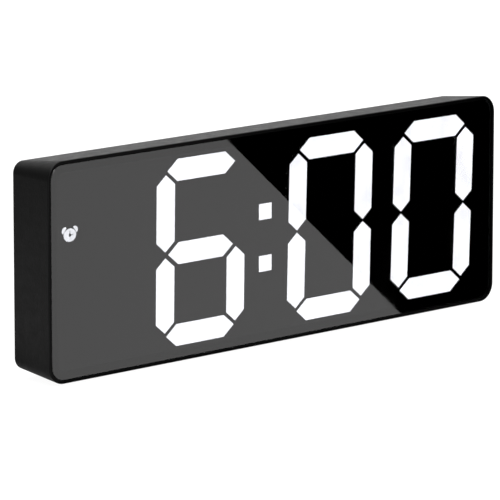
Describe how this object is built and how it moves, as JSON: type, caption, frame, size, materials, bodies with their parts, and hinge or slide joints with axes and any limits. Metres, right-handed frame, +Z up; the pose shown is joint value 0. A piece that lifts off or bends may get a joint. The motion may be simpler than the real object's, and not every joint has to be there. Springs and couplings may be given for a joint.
{
  "type": "alarm clock",
  "caption": "Slim black mirror-faced LED alarm clock, a flat box with large white digits, rear buttons and a battery bay.",
  "frame": {"origin": "middle of the footprint, on the surface that the clock stands on", "axes": "+X to the viewer's right along the clock, -Y out of the display, +Z up"},
  "size_m": [0.185, 0.0186, 0.0652],
  "materials": {
    "case_plastic": "satin black moulded plastic",
    "door_plastic": "satin black moulded plastic",
    "smoked_panel": "polished smoked acrylic with a mirror tint",
    "black_tape": "black adhesive film",
    "mask_film": "matt black printed film",
    "white_plastic": "white moulded light box",
    "lit_segment": "white diffusing resin, lit from behind",
    "dark_segment": "smoked diffusing resin, not lit",
    "board": "green solder resist over glass laminate",
    "led_body": "white light-emitting chip with phosphor",
    "chip_black": "moulded epoxy",
    "resistor_body": "glazed chip resistor",
    "capacitor_body": "ceramic chip capacitor",
    "plated_steel": "nickel-plated spring steel",
    "can_aluminium": "aluminium can",
    "buzzer_plastic": "black moulded plastic",
    "switch_case": "black switch case",
    "plunger_plastic": "black switch plunger",
    "button_plastic": "satin black moulded plastic",
    "cell_can": "printed shrink sleeve over a metal can",
    "screw_steel": "black zinc-plated steel",
    "foot_rubber": "soft black rubber"
  },
  "bodies": {
    "case": {"housing": "case_plastic", "rear_cover": "case_plastic", "front_panel": "smoked_panel", "panel_tape": "black_tape", "segment_mask": "mask_film", "light_box": "white_plastic", "hour_segments": "lit_segment", "minute_tens_segments": "lit_segment", "minute_units_segments": "lit_segment", "colon_dots": "lit_segment", "alarm_symbol": "lit_segment", "unlit_segments": "dark_segment", "main_board": "board", "led_chips": "led_body", "controller_chip": "chip_black", "driver_transistors": "chip_black", "chip_resistors": "resistor_body", "chip_capacitors": "capacitor_body", "clock_crystal": "plated_steel", "filter_capacitor": "can_aluminium", "buzzer": "buzzer_plastic", "inlet_shell": "plated_steel", "inlet_tongue": "chip_black", "tact_switches": "switch_case", "battery_cells": "cell_can", "contact_plates": "plated_steel", "contact_springs": "plated_steel", "case_screws": "screw_steel", "board_screws": "screw_steel", "rubber_feet": "foot_rubber"},
    "mode_key": {"mode_button": "button_plastic", "mode_plunger": "plunger_plastic"},
    "set_key": {"set_button": "button_plastic", "set_plunger": "plunger_plastic"},
    "up_key": {"up_button": "button_plastic", "up_plunger": "plunger_plastic"},
    "down_key": {"down_button": "button_plastic", "down_plunger": "plunger_plastic"},
    "door": {"battery_door": "door_plastic"}
  },
  "joints": [
    {"name": "mode_press", "type": "slide", "parent": "case", "child": "mode_key", "axis": [0, -1, 0], "range_m": [0, 0.0003], "stiffness_N_per_m": 1500, "springref_m": -0.0005},
    {"name": "set_press", "type": "slide", "parent": "case", "child": "set_key", "axis": [0, -1, 0], "range_m": [0, 0.0003], "stiffness_N_per_m": 1500, "springref_m": -0.0005},
    {"name": "up_press", "type": "slide", "parent": "case", "child": "up_key", "axis": [0, -1, 0], "range_m": [0, 0.0003], "stiffness_N_per_m": 1500, "springref_m": -0.0005},
    {"name": "down_press", "type": "slide", "parent": "case", "child": "down_key", "axis": [0, -1, 0], "range_m": [0, 0.0003], "stiffness_N_per_m": 1500, "springref_m": -0.0005},
    {"name": "door_swing", "type": "hinge", "parent": "case", "child": "door", "pos_m": [0, 0.0086, 0.0076], "axis": [-1, 0, 0], "range_deg": [0, 80]}
  ]
}
